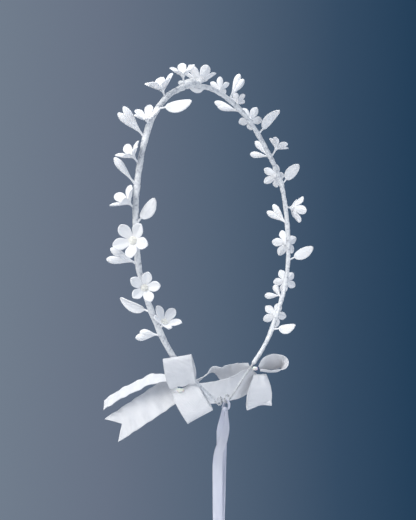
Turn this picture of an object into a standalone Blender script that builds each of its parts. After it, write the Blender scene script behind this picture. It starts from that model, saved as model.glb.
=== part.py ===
"""A wired flower crown: two tape-wrapped half hoops lapped at the top and tied at the back with satin ribbon.

The ring hangs in the XZ plane. The origin is on the inner side of the wire at the top of the ring, where
a hook holds it. The head goes through along Y. Flowers point outwards, buds lean to +Y, leaves to -Y.
"""

import math

import bmesh
import bpy
from mathutils import Matrix, Vector

# Driving dimensions, in metres.
RING_WIDTH = 0.162
RING_HEIGHT = 0.183
CORE_RADIUS = 0.0006
LEFT_WRAP_RADIUS = 0.0016
RIGHT_WRAP_RADIUS = 0.0014
GAP = 0.0003
LAP_CLEARANCE = 0.0004
LAP_SHARE = -0.136
LAP_HALF = 0.010
LAP_FADE = 0.012
BINDING_WIDTH = 0.0024
BINDING_CLEARANCE = 0.0008
BINDING_WALL = 0.0007
LEFT_TAPE_END = 0.975
RIGHT_TAPE_END = 0.880
EYELET_RADIUS = 0.0022
EYELET_TURN = 280
STEM_RADIUS = 0.0005
CUP_SHARE = 0.36
PETALS = 5
PETAL_THICKNESS = 0.0008
BUD_SHARE = 0.72
BUD_RADIUS = 0.0021
FORK_REACH = 0.0034
STEM_GAP = 0.0004
LEAF_HALF_WIDTH = 0.0036
LEAF_THICKNESS = 0.0010
LEAF_STEM = 0.0035
BOW_RIBBON_WIDTH = 0.016
BOW_RIBBON_THICKNESS = 0.0006
BOW_TURN = -56
TAIL_NOTCH = 0.007
TIE_WIDTH = 0.006
TIE_THICKNESS = 0.0006
TIE_LENGTH = 0.250
TIE_BIGHT_WIDTH = 0.0018
BIGHT_CLEARANCE = 0.0006
KNOT_DROP = 0.0040
KNOT_OFFSET = Vector((-0.0018, 0.0, -0.0038))
KNOT_HALF = Vector((0.0030, 0.0017, 0.0015))

# Half outlines from the lap to the eyelet: (share of the width from the origin, share of the height down).
LEFT_OUTLINE = (
    (-0.086, 0.000), (-0.136, 0.000), (-0.260, 0.047), (-0.358, 0.129), (-0.414, 0.238),
    (-0.444, 0.364), (-0.441, 0.500), (-0.420, 0.593), (-0.352, 0.708), (-0.247, 0.828),
    (-0.105, 0.927), (0.046, 1.010),
)
RIGHT_OUTLINE = (
    (-0.185, 0.001), (-0.093, 0.000), (0.000, 0.000), (0.123, 0.025), (0.247, 0.074),
    (0.370, 0.156), (0.488, 0.266), (0.540, 0.402), (0.551, 0.544), (0.512, 0.659),
    (0.432, 0.774), (0.352, 0.850), (0.228, 0.929), (0.108, 1.006),
)

# Flowers: hoop, share along it, reach to the rim in mm, diameter in mm, side, along and spin in degrees.
# Side turns the stem from straight out towards +Y, and along leans it towards the eyelet.
FLOWERS = (
    ("left", 0.697, 12.5, 17.0, -98, -46, 10),
    ("left", 0.590, 10.5, 17.0, -46, -26, 5),
    ("left", 0.484, 11.5, 20.0, -19, -9, 0),
    ("left", 0.418, 11.5, 17.0, 27, -42, 50),
    ("left", 0.320, 11.5, 15.5, 18, -33, 20),
    ("left", 0.232, 10.5, 15.0, -16, -26, 40),
    ("left", 0.137, 11.5, 18.0, 6, -13, 0),
    ("left", 0.067, 12.0, 15.0, -12, 6, 0),
    ("right", 0.070, 10.0, 18.5, 14, 22, 35),
    ("right", 0.132, 9.0, 11.5, 30, 30, 5),
    ("right", 0.204, 8.8, 11.0, 24, 9, 50),
    ("right", 0.256, 10.0, 15.5, 33, 32, 25),
    ("right", 0.367, 12.6, 14.5, -17, -15, 45),
    ("right", 0.418, 10.0, 15.0, 55, 17, 10),
    ("right", 0.489, 11.0, 17.5, -32, 20, 55),
    ("right", 0.569, 10.0, 17.0, 46, 6, 30),
    ("right", 0.658, 10.0, 15.5, 34, -18, 0),
    ("right", 0.741, 10.0, 16.0, 45, -24, 40),
)

# Bud pairs: hoop, share, then reach in mm, side and along in degrees of the first and of the second bud.
BUD_PAIRS = (
    ("left", 0.713, 12.5, 53, -36, 14.7, 45, -24),
    ("left", 0.535, 17.6, 43, -40, 17.5, 42, -20),
    ("left", 0.367, 19.6, 25, -41, 18.4, 44, -46),
    ("left", 0.260, 20.8, 21, -33, 20.1, 28, -22),
    ("right", 0.170, 20.4, 0, 15, 18.2, -9, 22),
    ("right", 0.225, 19.5, 76, -24, 16.8, 82, -23),
    ("right", 0.372, 18.3, 52, -24, 16.1, 81, -13),
    ("right", 0.532, 19.4, 66, -44, 18.2, 84, -31),
    ("right", 0.699, 13.0, 88, -50, 13.0, 92, -8),
)

# Leaves: hoop, share, reach to the tip in mm, side, along and spin in degrees.
LEAVES = (
    ("left", 0.649, 21.3, 92, -22, 0),
    ("left", 0.450, 19.2, -93, -46, 0),
    ("left", 0.178, 21.1, -93, -13, 25),
    ("right", 0.107, 15.0, 95, -50, 0),
    ("right", 0.298, 20.7, -51, -24, 0),
    ("right", 0.441, 18.2, -63, -39, 0),
    ("right", 0.609, 19.5, -83, -27, 0),
    ("right", 0.777, 16.3, -86, -14, 0),
)

# Bow ribbons: name, across direction, turns of the ribbon in degrees at even steps along it, width at the root
# and length of its flare in mm, then the route in mm in the bow's own frame: X along its face, Y back, Z up.
# Each bow's middle is an offset, in metres, from a share of its hoop, where the wire has the given slope.
LEFT_BOW_SHARE = 0.84
LEFT_BOW_SLOPE = -36.39
LEFT_BOW_OFFSET = Vector((-0.0042, 0.0005, -0.0062))
LEFT_BOW_STRIPS = (
    ("left_bow_upper_loop", (0.99, 0.0, 0.16), (0, 0), 14.5, 6.0,
     ((1.2, 0.2, 2.0), (0.6, -1.8, 7.0), (-0.6, -6.2, 12.0), (-1.5, -9.6, 15.6), (-1.7, -11.6, 15.8),
      (-1.4, -12.4, 13.4), (-0.7, -10.2, 8.0), (0.6, -6.2, 1.6), (1.0, -4.6, -0.6))),
    ("left_bow_lower_loop", (0.87, 0.0, 0.49), (0, 0), 14.0, 6.0,
     ((2.8, 0.9, -3.4), (7.6, 1.6, -8.8), (11.2, 0.2, -16.2), (11.2, -2.0, -18.0), (10.2, -4.2, -16.8),
      (6.0, -5.2, -9.9), (1.6, -2.4, -1.6))),
    ("left_bow_long_tail", (-0.47, 0.38, 0.8), (0, 0), 14.0, 6.0,
     ((-1.8, 6.2, -2.7), (-6.8, 4.7, -5.1), (-16.5, 1.8, -11.3), (-27.0, 0.0, -18.1), (-38.9, -1.0, -25.9))),
    ("left_bow_narrow_tail", (0.0, 0.96, 0.26), (0, 0), 7.0, 12.0,
     ((-1.9, 3.2, -3.1), (-9.8, 1.8, -3.6), (-14.1, 1.4, -4.4), (-19.2, 1.4, -7.0), (-29.4, 1.8, -12.0),
      (-37.7, 2.2, -17.3), (-39.9, 2.4, -19.0))),
)
# The long tail is cut to a notch, and the narrow tail's route is given from the long tail's upper edge.
NOTCHED_TAIL = "left_bow_long_tail"
EDGE_TAIL = "left_bow_narrow_tail"
EDGE_DIRECTION = Vector((-0.47, 0.38, 0.80))
RIGHT_BOW_SHARE = 0.885
RIGHT_BOW_SLOPE = -145.6
RIGHT_BOW_OFFSET = Vector((0.0021, -0.0013, -0.0029))
RIGHT_BOW_STRIPS = (
    ("right_bow_left_loop", (-0.46, -0.41, 0.79), (0, 0, 0, -15, -62, -62, -30, 0, 0, 0, 0, 0, 0), 10.0, 8.0,
     ((-2.0, 1.0, 0.2), (-8.0, 4.2, -2.6), (-15.0, 5.4, -3.6), (-20.5, 5.6, -2.6), (-25.5, 5.8, -1.0),
      (-31.0, 6.0, -4.2), (-35.6, 5.2, -8.0), (-37.2, 2.6, -12.0), (-34.5, -0.4, -14.6),
      (-29.5, -1.7, -14.4), (-22.0, -2.4, -13.2), (-13.0, -2.1, -11.0), (-6.6, -0.8, -7.6),
      (-0.5, 1.4, -3.0))),
    ("right_bow_upper_loop", (0.0, -0.98, 0.17), (-24, -24, -24, -12, 0, 0, 0), 6.0, 10.0,
     ((2.4, 1.3, 0.8), (6.3, 2.4, 3.9), (11.5, 2.6, 5.0), (16.0, 2.0, 5.4), (17.9, 1.2, 3.4),
      (16.2, 0.8, 0.2), (11.0, 0.8, -1.2), (6.5, 0.9, -1.1), (2.9, 0.9, -0.5))),
    ("right_bow_lower_loop", (0.9, 0.3, 0.3), (0, 0), 8.0, 14.0,
     ((2.6, 0.8, -2.9), (2.7, 0.9, -11.5), (2.0, -1.0, -20.0), (1.9, -2.4, -21.8), (2.0, -3.8, -19.8),
      (2.6, -3.6, -11.5), (2.4, -2.2, -3.2))),
)
LEFT_GLUE = (Vector((-0.0004, -0.0039, -0.0030)), Vector((0.0026, 0.0006, 0.0015)))
RIGHT_GLUE = (Vector((-0.0006, -0.0026, 0.0009)), Vector((0.0020, 0.0010, 0.0016)))

# Satin tails from under the knot: mm along and back in the bows' directions, then the share of the length down.
FRONT_TAIL = (
    (1.2, -1.0, 0.0), (1.0, -1.4, 0.03), (-1.2, -2.2, 0.065), (-4.1, -2.8, 0.105), (-4.5, -2.8, 0.18),
    (-4.1, -2.6, 0.40), (-3.9, -2.6, 1.0),
)
BACK_TAIL = (
    (-1.4, 0.6, 0.0), (-2.2, 0.2, 0.03), (-2.1, -0.2, 0.08), (-2.7, -0.4, 0.18), (-3.7, -0.5, 0.40),
    (-3.9, -0.5, 1.0),
)

ROUND_SIDES = 8
ROUTE_STEPS = 44
BARE_STEPS = 8
STRIP_STEP = 0.0032
TIE_STEPS = 24

PALETTE = {
    "petal_white": ((0.86, 0.86, 0.86), 0.55, 0.0),
    "tape_white": ((0.74, 0.75, 0.76), 0.65, 0.0),
    "wire_steel": ((0.50, 0.51, 0.52), 0.35, 0.9),
    "ribbon_white": ((0.84, 0.85, 0.88), 0.75, 0.0),
    "satin_white": ((0.76, 0.77, 0.86), 0.35, 0.0),
    "glue_amber": ((0.78, 0.74, 0.58), 0.30, 0.0),
}


def clear_scene():
    for obj in list(bpy.data.objects):
        bpy.data.objects.remove(obj, do_unlink=True)


def make_material(name):
    colour, roughness, metallic = PALETTE[name]
    material = bpy.data.materials.new(name)
    material.use_nodes = True
    shader = material.node_tree.nodes["Principled BSDF"]
    shader.inputs["Base Color"].default_value = (*colour, 1.0)
    shader.inputs["Roughness"].default_value = roughness
    shader.inputs["Metallic"].default_value = metallic
    return material


def smooth_route(points, steps):
    """Evenly spaced points on a Catmull-Rom curve through the given points."""
    last = len(points) - 1
    dense = []
    for i in range(last):
        before, start, end, after = points[max(i - 1, 0)], points[i], points[i + 1], points[min(i + 2, last)]
        for k in range(16):
            t = k / 16
            dense.append(0.5 * (2 * start + (end - before) * t
                                + (2 * before - 5 * start + 4 * end - after) * t * t
                                + (3 * start - before - 3 * end + after) * t ** 3))
    dense.append(points[-1])
    return resample(dense, steps)


def resample(points, steps):
    travelled = [0.0]
    for a, b in zip(points, points[1:]):
        travelled.append(travelled[-1] + (b - a).length)
    even = []
    i = 0
    for k in range(steps + 1):
        target = travelled[-1] * k / steps
        while i < len(points) - 2 and travelled[i + 1] < target:
            i += 1
        share = (target - travelled[i]) / (travelled[i + 1] - travelled[i])
        even.append(points[i].lerp(points[i + 1], share))
    return even


def route_length(points):
    return sum((b - a).length for a, b in zip(points, points[1:]))


def shortened(points, cut):
    """The same route with as many points, stopping short of its end by the cut."""
    if cut == 0:
        return points
    kept = resample(points, 200)[: round(200 * (1 - cut / route_length(points))) + 1]
    return resample(kept, len(points) - 1)


def tangents(points):
    last = len(points) - 1
    return [(points[min(i + 1, last)] - points[max(i - 1, 0)]).normalized() for i in range(last + 1)]


def finish_mesh(name, bm, material, smooth_angle=40):
    bmesh.ops.recalc_face_normals(bm, faces=bm.faces)
    mesh = bpy.data.meshes.new(name)
    bm.to_mesh(mesh)
    bm.free()
    mesh.shade_smooth()
    mesh.set_sharp_from_angle(angle=math.radians(smooth_angle))
    mesh.materials.append(material)
    obj = bpy.data.objects.new(name, mesh)
    bpy.context.scene.collection.objects.link(obj)
    return obj


def bridge(bm, first, second):
    count = len(first)
    for i in range(count):
        bm.faces.new((first[i], first[(i + 1) % count], second[(i + 1) % count], second[i]))


def loft(name, sections, material, smooth_angle=40):
    """A closed body through sections of equal point count, with a flat cap at each end."""
    bm = bmesh.new()
    rings = [[bm.verts.new(point) for point in section] for section in sections]
    for first, second in zip(rings, rings[1:]):
        bridge(bm, first, second)
    bm.faces.new(rings[0])
    bm.faces.new(rings[-1])
    return finish_mesh(name, bm, material, smooth_angle)


def sleeve(name, outer, inner, material):
    """A tube open at both ends, between an outer and an inner row of sections."""
    bm = bmesh.new()
    outside = [[bm.verts.new(point) for point in section] for section in outer]
    inside = [[bm.verts.new(point) for point in section] for section in inner]
    for rings in (outside, inside):
        for first, second in zip(rings, rings[1:]):
            bridge(bm, first, second)
    bridge(bm, outside[0], inside[0])
    bridge(bm, outside[-1], inside[-1])
    return finish_mesh(name, bm, material)


def round_section(centre, along, side, radius, sides=ROUND_SIDES, flat=1.0):
    up = side.cross(along).normalized()
    across = along.cross(up).normalized()
    corners = []
    for i in range(sides):
        angle = 2 * math.pi * i / sides
        corners.append(centre + radius * (math.cos(angle) * across + flat * math.sin(angle) * up))
    return corners


def round_sections(route, radius, sides=ROUND_SIDES):
    side = Vector((0, 1, 0))
    return [round_section(p, t, side, radius, sides) for p, t in zip(route, tangents(route))]


class Hoop:
    """One half hoop: its route from the lap to the eyelet and the body that its pieces belong to."""

    def __init__(self, name, outline, wrap_radius, lap_side, pivot):
        self.name = name
        self.wrap_radius = wrap_radius
        self.pivot = pivot
        offset = lap_side * (LEFT_WRAP_RADIUS + RIGHT_WRAP_RADIUS + LAP_CLEARANCE) / 2
        lap_x = LAP_SHARE * RING_WIDTH
        points = []
        for across, down in outline:
            x = across * RING_WIDTH
            points.append(Vector((x, 0.0, RIGHT_WRAP_RADIUS - down * RING_HEIGHT)))
        fine = smooth_route(points, 400)
        for point in fine:
            away = (abs(point.x - lap_x) - LAP_HALF) / LAP_FADE
            ease = min(max(away, 0.0), 1.0) if point.z > -RING_HEIGHT / 2 else 1.0
            point.y = offset * (1 - ease * ease * (3 - 2 * ease))
        self.fine = fine

    def at(self, share):
        """(point, tangent, outward normal) at a share of the hoop's length."""
        i = min(max(round(share * 400), 1), 399)
        along = (self.fine[i + 1] - self.fine[i - 1]).normalized()
        outward = Vector((-along.z, 0, along.x)).normalized()
        middle = Vector((0.05 * RING_WIDTH, 0, -RING_HEIGHT / 2))
        if outward.dot(self.fine[i] - middle) < 0:
            outward = -outward
        return self.fine[i], along, outward

    def direction(self, share, side, lean):
        _, along, outward = self.at(share)
        side, lean = math.radians(side), math.radians(lean)
        flat = math.cos(side) * outward + math.sin(side) * Vector((0, 1, 0))
        return (math.cos(lean) * flat + math.sin(lean) * along).normalized()

    def eyelet(self):
        """The end loop's points, turning upwards from the hoop's end."""
        end = self.fine[-1]
        along = (self.fine[-1] - self.fine[-6]).normalized()
        up = Vector((0, 0, 1))
        up = (up - up.dot(along) * along).normalized()
        centre = end + EYELET_RADIUS * up
        points = []
        for k in range(1, 15):
            angle = math.radians(EYELET_TURN) * k / 14
            points.append(centre + EYELET_RADIUS * (math.sin(angle) * along - math.cos(angle) * up))
        return centre, points


def foot_distance(wrap_radius, lean):
    """How far from the hoop's centre a leaning stem's foot clears the tape by the gap."""
    lean = math.radians(abs(lean))
    return (wrap_radius + STEM_GAP + STEM_RADIUS * math.sin(lean)) / math.cos(lean)


def place(obj, pivot, at, rotation=None):
    obj.parent = pivot
    obj.location = at - pivot.location
    if rotation is not None:
        obj.rotation_euler = rotation.to_euler()


def stem_frame(hoop, share, side, lean, spin):
    """The rotation whose Z is the stem's direction and whose X follows the hoop, turned by spin."""
    _, along, _ = hoop.at(share)
    z_axis = hoop.direction(share, side, lean)
    x_axis = (along - along.dot(z_axis) * z_axis).normalized()
    y_axis = z_axis.cross(x_axis)
    turned = Matrix((x_axis, y_axis, z_axis)).transposed()
    return turned @ Matrix.Rotation(math.radians(spin), 3, "Z")


def star_section(radius, notch_share, height, notch_height):
    corners = []
    for i in range(2 * PETALS):
        angle = math.pi * i / PETALS
        tip = i % 2 == 0
        r = radius if tip else radius * notch_share
        corners.append(Vector((r * math.cos(angle), r * math.sin(angle), height if tip else notch_height)))
    return corners


def make_flower(name, hoop, row, material):
    _, share, reach, diameter, side, lean, spin = row
    reach, radius = reach / 1000, diameter / 2000
    cup = CUP_SHARE * diameter / 1000
    base = reach - cup
    foot = foot_distance(hoop.wrap_radius, lean)
    wall = PETAL_THICKNESS
    sections = (
        star_section(STEM_RADIUS, 1.0, foot, foot),
        star_section(STEM_RADIUS, 1.0, base, base),
        star_section(0.28 * radius, 0.95, base + 0.16 * cup, base + 0.16 * cup),
        star_section(0.66 * radius, 0.85, base + 0.62 * cup, base + 0.60 * cup),
        star_section(radius, 0.55, reach - wall, base + 0.72 * cup),
        star_section(radius, 0.55, reach, base + 0.72 * cup + wall),
        star_section(0.62 * radius, 0.85, base + 0.62 * cup + wall, base + 0.60 * cup + wall),
        star_section(0.24 * radius, 0.95, base + 0.24 * cup + wall, base + 0.24 * cup + wall),
        star_section(0.12 * radius, 1.0, base + 0.45 * cup + wall, base + 0.45 * cup + wall),
    )
    obj = loft(name, sections, material, 50)
    place(obj, hoop.pivot, hoop.at(share)[0], stem_frame(hoop, share, side, lean, spin))


def bud_sections(start, tip, first_radius):
    """A thin stem from start that swells into a pointed teardrop ending at tip."""
    along = (tip - start).normalized()
    side = along.orthogonal().normalized()
    length = (tip - start).length
    bud = BUD_SHARE * tip.length
    neck = length - bud
    profile = ((0.0, first_radius), (neck, STEM_RADIUS), (neck + 0.25 * bud, 0.42 * BUD_RADIUS),
               (neck + 0.52 * bud, 0.84 * BUD_RADIUS), (neck + 0.74 * bud, BUD_RADIUS),
               (neck + 0.90 * bud, 0.66 * BUD_RADIUS), (length, 0.10 * BUD_RADIUS))
    return [round_section(start + d * along, along, side, r) for d, r in profile]


def make_bud_pair(name, hoop, row, material):
    _, share, reach_a, side_a, lean_a, reach_b, side_b, lean_b = row
    at = hoop.at(share)[0]
    first = hoop.direction(share, side_a, lean_a)
    second = hoop.direction(share, side_b, lean_b)
    foot = foot_distance(hoop.wrap_radius, lean_a)
    fork = max(FORK_REACH, foot + 3 * STEM_RADIUS)
    obj = loft(name, bud_sections(foot * first, first * reach_a / 1000, STEM_RADIUS), material)
    other = loft(name + "_second", bud_sections(fork * first, second * reach_b / 1000, 0.8 * STEM_RADIUS),
                 material)
    place(obj, hoop.pivot, at)
    place(other, hoop.pivot, at)
    other.hide_render = True
    other.display_type = "WIRE"
    union = obj.modifiers.new("fork", "BOOLEAN")
    union.operation = "UNION"
    union.object = other


def make_leaf(name, hoop, row, material):
    _, share, reach, side, lean, spin = row
    reach = reach / 1000
    foot = foot_distance(hoop.wrap_radius, lean)
    stem_end = foot + LEAF_STEM
    outline = [(foot, STEM_RADIUS, 1.0), (stem_end, STEM_RADIUS, 1.0)]
    for k in range(1, 8):
        t = k / 8
        half = LEAF_HALF_WIDTH * math.sin(math.pi * t ** 0.75) ** 0.7
        outline.append((stem_end + t * (reach - stem_end), half, LEAF_THICKNESS / 2 / half))
    outline.append((reach, STEM_RADIUS / 2, 1.0))
    sections = [round_section(Vector((0, 0, z)), Vector((0, 0, 1)), Vector((1, 0, 0)), r, 6, flat)
                for z, r, flat in outline]
    obj = loft(name, sections, material)
    place(obj, hoop.pivot, hoop.at(share)[0], stem_frame(hoop, share, side, lean, spin))


def blend(values, share):
    """The value at a share of the way along a row of evenly spaced values."""
    place = share * (len(values) - 1)
    i = min(int(place), len(values) - 2)
    return values[i] + (values[i + 1] - values[i]) * (place - i)


def strip(name, route, across, turns, widths, notch, thickness, material):
    """A ribbon whose middle line stops short of its edges by the notch, as a swallow tail is cut."""
    bm = bmesh.new()
    rows = []
    middles = shortened(route, notch)
    for i, (centre, along) in enumerate(zip(route, tangents(route))):
        level = (across - across.dot(along) * along).normalized()
        turn = math.radians(blend(turns, i / (len(route) - 1)))
        level = Matrix.Rotation(turn, 3, along) @ level
        face = along.cross(level).normalized() * thickness / 2
        half = level * widths[i] / 2
        rows.append([bm.verts.new(point) for point in (
            centre - half + face, middles[i] + face, centre + half + face,
            centre + half - face, middles[i] - face, centre - half - face)])
    for first, second in zip(rows, rows[1:]):
        bridge(bm, first, second)
    for end in (rows[0], rows[-1]):
        bm.faces.new((end[0], end[1], end[4], end[5]))
        bm.faces.new((end[1], end[2], end[3], end[4]))
    return finish_mesh(name, bm, material)


def bow_frame(hoop, share, slope, offset):
    """A bow's middle and turn: it leans with its wire, away from the slope that its routes are given for."""
    at, along, _ = hoop.at(share)
    lean = Matrix.Rotation(math.radians(slope) - math.atan2(along.z, along.x), 3, "Y")
    return at + lean @ offset, lean @ Matrix.Rotation(math.radians(BOW_TURN), 3, "Z")


def make_bow_strip(row, at, turn, pivot, material):
    name, across, turns, root_mm, flare_mm, points = row
    rough = [Vector(point) / 1000 for point in points]
    length = route_length(smooth_route(rough, 60))
    steps = round(length / STRIP_STEP)
    root, flare = root_mm / 1000, flare_mm / 1000
    widths = []
    for i in range(steps + 1):
        from_root = length * i / steps
        if name.endswith("loop"):
            from_root = min(from_root, length - from_root)
        opened = math.sin(min(from_root / flare, 1.0) * math.pi / 2)
        widths.append(root + (BOW_RIBBON_WIDTH - root) * opened)
    notch = TAIL_NOTCH if name == NOTCHED_TAIL else 0.0
    edge = EDGE_DIRECTION * BOW_RIBBON_WIDTH / 2 if name == EDGE_TAIL else Vector()
    obj = strip(name, smooth_route(rough, steps), Vector(across), turns, widths, notch, BOW_RIBBON_THICKNESS,
                material)
    place(obj, pivot, at + turn @ edge, turn)


def make_glue(name, bow_at, turn, glue, pivot, material):
    offset, half = glue
    bm = bmesh.new()
    bmesh.ops.create_icosphere(bm, subdivisions=2, radius=1.0)
    bmesh.ops.scale(bm, vec=half, verts=bm.verts)
    obj = finish_mesh(name, bm, material)
    place(obj, pivot, bow_at + turn @ offset, turn)


def make_hoop(hoop, tape_end, materials):
    """The core wire with its eyelet, and the tape sleeve round it."""
    cut = round(tape_end * 400)
    taped = resample(hoop.fine[: cut + 1], ROUTE_STEPS)
    bare = resample(hoop.fine[cut:], BARE_STEPS)
    route = taped + bare[1:] + hoop.eyelet()[1]
    core = loft(hoop.name + "_core_wire", round_sections(route, CORE_RADIUS, 6), materials["wire_steel"])
    wrap = sleeve(hoop.name + "_tape_wrap", round_sections(taped, hoop.wrap_radius),
                  round_sections(taped, CORE_RADIUS + GAP), materials["tape_white"])
    for obj in (core, wrap):
        move_origin(obj, hoop.pivot)


def move_origin(obj, pivot):
    """Rests the object on its pivot with its mesh where it is in the world."""
    obj.data.transform(Matrix.Translation(-pivot.location))
    obj.parent = pivot


def make_binding(left, right, material):
    """A band of tape round both wires, short and loose enough for the left one to turn in it."""
    middle = Vector((LAP_SHARE * RING_WIDTH, 0.0, RIGHT_WRAP_RADIUS))
    half_y = (left.wrap_radius + right.wrap_radius + LAP_CLEARANCE) / 2 + left.wrap_radius + BINDING_CLEARANCE
    half_z = left.wrap_radius + BINDING_CLEARANCE
    rings = []
    for wall in (BINDING_WALL, 0.0):
        rows = []
        for x in (-BINDING_WIDTH / 2, BINDING_WIDTH / 2):
            rows.append(stadium(middle + Vector((x, 0, 0)), half_y + wall, half_z + wall))
        rings.append(rows)
    obj = sleeve("lap_binding", rings[0], rings[1], material)
    move_origin(obj, right.pivot)


def stadium(centre, half_y, half_z):
    """A long round-ended outline in the YZ plane, its flats as far apart as its ends are round."""
    corners = []
    for end in (1, -1):
        for k in range(7):
            angle = math.pi * (k / 6 - 0.5)
            y = end * (half_y - half_z + half_z * math.cos(angle))
            corners.append(centre + Vector((0, y, end * half_z * math.sin(angle))))
    return corners


def make_tie(pivot, material):
    """The satin tie: a bight round the right eyelet's lower wire, the knot, and two tails."""
    axis = pivot.location
    inner = CORE_RADIUS + BIGHT_CLEARANCE + TIE_THICKNESS / 2
    bight = [axis + Vector((0, -inner, -KNOT_DROP))]
    for k in range(7):
        angle = math.pi * k / 6
        bight.append(axis + Vector((0, -inner * math.cos(angle), inner * math.sin(angle))))
    bight.append(axis + Vector((0, inner, -KNOT_DROP)))
    knot_at = axis + KNOT_OFFSET
    knot = loft("tie_knot", knot_sections(knot_at), material)
    widths = [TIE_BIGHT_WIDTH] * len(bight)
    loop = strip("tie_knot_bight", bight, Vector((1, 0, 0)), (0, 0), widths, 0.0, TIE_THICKNESS, material)
    for obj in (knot, loop):
        move_origin(obj, pivot)
    loop.hide_render = True
    loop.display_type = "WIRE"
    union = knot.modifiers.new("bight", "BOOLEAN")
    union.operation = "UNION"
    union.object = loop
    turn = Matrix.Rotation(math.radians(BOW_TURN), 3, "Z")
    across = turn @ Vector((1, 0, 0))
    top = knot_at - Vector((0, 0, KNOT_HALF.z + GAP))
    for name, route in (("tie_tail_front", FRONT_TAIL), ("tie_tail_back", BACK_TAIL)):
        points = [top + turn @ Vector((x / 1000, y / 1000, -down * TIE_LENGTH)) for x, y, down in route]
        centres = smooth_route(points, TIE_STEPS)
        widths = [TIE_WIDTH] * len(centres)
        obj = strip(name, centres, across, (0, 0), widths, 0.0, TIE_THICKNESS, material)
        move_origin(obj, pivot)


def knot_sections(centre):
    """A rounded lump, long in X, from sections that shrink to both ends."""
    sections = []
    for k in range(1, 8):
        angle = math.pi * k / 8
        x = -KNOT_HALF.x * math.cos(angle)
        radius = KNOT_HALF.y * math.sin(angle) ** 0.7
        sections.append(round_section(centre + Vector((x, 0, 0)), Vector((1, 0, 0)), Vector((0, 1, 0)),
                                      radius, ROUND_SIDES, KNOT_HALF.z / KNOT_HALF.y))
    return sections


def make_pivot(name, at):
    empty = bpy.data.objects.new(name, None)
    empty.location = at
    empty.empty_display_size = 0.01
    bpy.context.scene.collection.objects.link(empty)
    return empty


def main():
    clear_scene()
    materials = {name: make_material(name) for name in PALETTE}
    lap_at = Vector((LAP_SHARE * RING_WIDTH, 0.0, RIGHT_WRAP_RADIUS))
    hoops = {
        "left": Hoop("left", LEFT_OUTLINE, LEFT_WRAP_RADIUS, -1, make_pivot("left_half_pivot", lap_at)),
        "right": Hoop("right", RIGHT_OUTLINE, RIGHT_WRAP_RADIUS, 1, make_pivot("right_half", Vector())),
    }
    left, right = hoops["left"], hoops["right"]
    make_hoop(left, LEFT_TAPE_END, materials)
    make_hoop(right, RIGHT_TAPE_END, materials)
    make_binding(left, right, materials["tape_white"])
    for number, row in enumerate(FLOWERS, 1):
        make_flower(f"flower_{number:02d}", hoops[row[0]], row, materials["petal_white"])
    for number, row in enumerate(BUD_PAIRS, 1):
        make_bud_pair(f"bud_pair_{number}", hoops[row[0]], row, materials["petal_white"])
    for number, row in enumerate(LEAVES, 1):
        make_leaf(f"leaf_{number}", hoops[row[0]], row, materials["petal_white"])
    for hoop, share, slope, offset, strips, glue in (
            (left, LEFT_BOW_SHARE, LEFT_BOW_SLOPE, LEFT_BOW_OFFSET, LEFT_BOW_STRIPS, LEFT_GLUE),
            (right, RIGHT_BOW_SHARE, RIGHT_BOW_SLOPE, RIGHT_BOW_OFFSET, RIGHT_BOW_STRIPS, RIGHT_GLUE)):
        bow_at, turn = bow_frame(hoop, share, slope, offset)
        for row in strips:
            make_bow_strip(row, bow_at, turn, hoop.pivot, materials["ribbon_white"])
        make_glue(hoop.name + "_bow_glue", bow_at, turn, glue, hoop.pivot, materials["glue_amber"])
    tie_at = right.eyelet()[0] - Vector((0, 0, EYELET_RADIUS))
    make_tie(make_pivot("tie_pivot", tie_at), materials["satin_white"])
    bpy.context.view_layer.update()


main()
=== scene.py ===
"""Detailed look of a hanging flower crown, built round the frame's CAD nodes.

Metres throughout, in the row frame: the ring hangs in the XZ plane below the origin, which is on the inner
side of the wire at the top. Each node is stood for by one or two finer pieces on the same route, which ride
on its body.
"""

import math

import bmesh
import bpy
import numpy as np
from mathutils import Matrix, Vector, noise


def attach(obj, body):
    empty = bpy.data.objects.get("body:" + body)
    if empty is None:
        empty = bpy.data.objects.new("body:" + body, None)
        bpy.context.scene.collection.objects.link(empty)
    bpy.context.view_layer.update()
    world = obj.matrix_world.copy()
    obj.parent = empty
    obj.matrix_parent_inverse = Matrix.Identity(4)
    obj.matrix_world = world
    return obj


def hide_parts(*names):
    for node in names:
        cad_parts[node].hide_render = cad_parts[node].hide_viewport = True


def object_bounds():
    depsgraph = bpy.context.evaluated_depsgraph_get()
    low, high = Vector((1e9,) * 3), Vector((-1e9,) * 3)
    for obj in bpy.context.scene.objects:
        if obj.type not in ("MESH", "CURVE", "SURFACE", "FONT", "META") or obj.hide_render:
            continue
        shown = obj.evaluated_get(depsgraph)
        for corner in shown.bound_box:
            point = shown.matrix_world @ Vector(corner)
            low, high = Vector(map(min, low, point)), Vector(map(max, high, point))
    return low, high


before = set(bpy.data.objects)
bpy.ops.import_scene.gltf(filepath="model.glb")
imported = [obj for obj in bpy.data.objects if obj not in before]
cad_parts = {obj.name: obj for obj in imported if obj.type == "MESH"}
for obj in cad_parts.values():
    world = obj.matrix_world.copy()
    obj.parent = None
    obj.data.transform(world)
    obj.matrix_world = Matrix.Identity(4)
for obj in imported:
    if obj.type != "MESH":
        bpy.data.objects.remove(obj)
cad_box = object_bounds()

# Camera: where it stands, what it looks at, and its lens on a sensor as high as the picture.
CAMERA_AT = Vector((-0.54264, -0.36348, -0.09839))
CAMERA_AIM = Vector((-0.00376, 0.0, -0.09839))
SENSOR_HEIGHT = 24.0
LENS = 51.72

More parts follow.
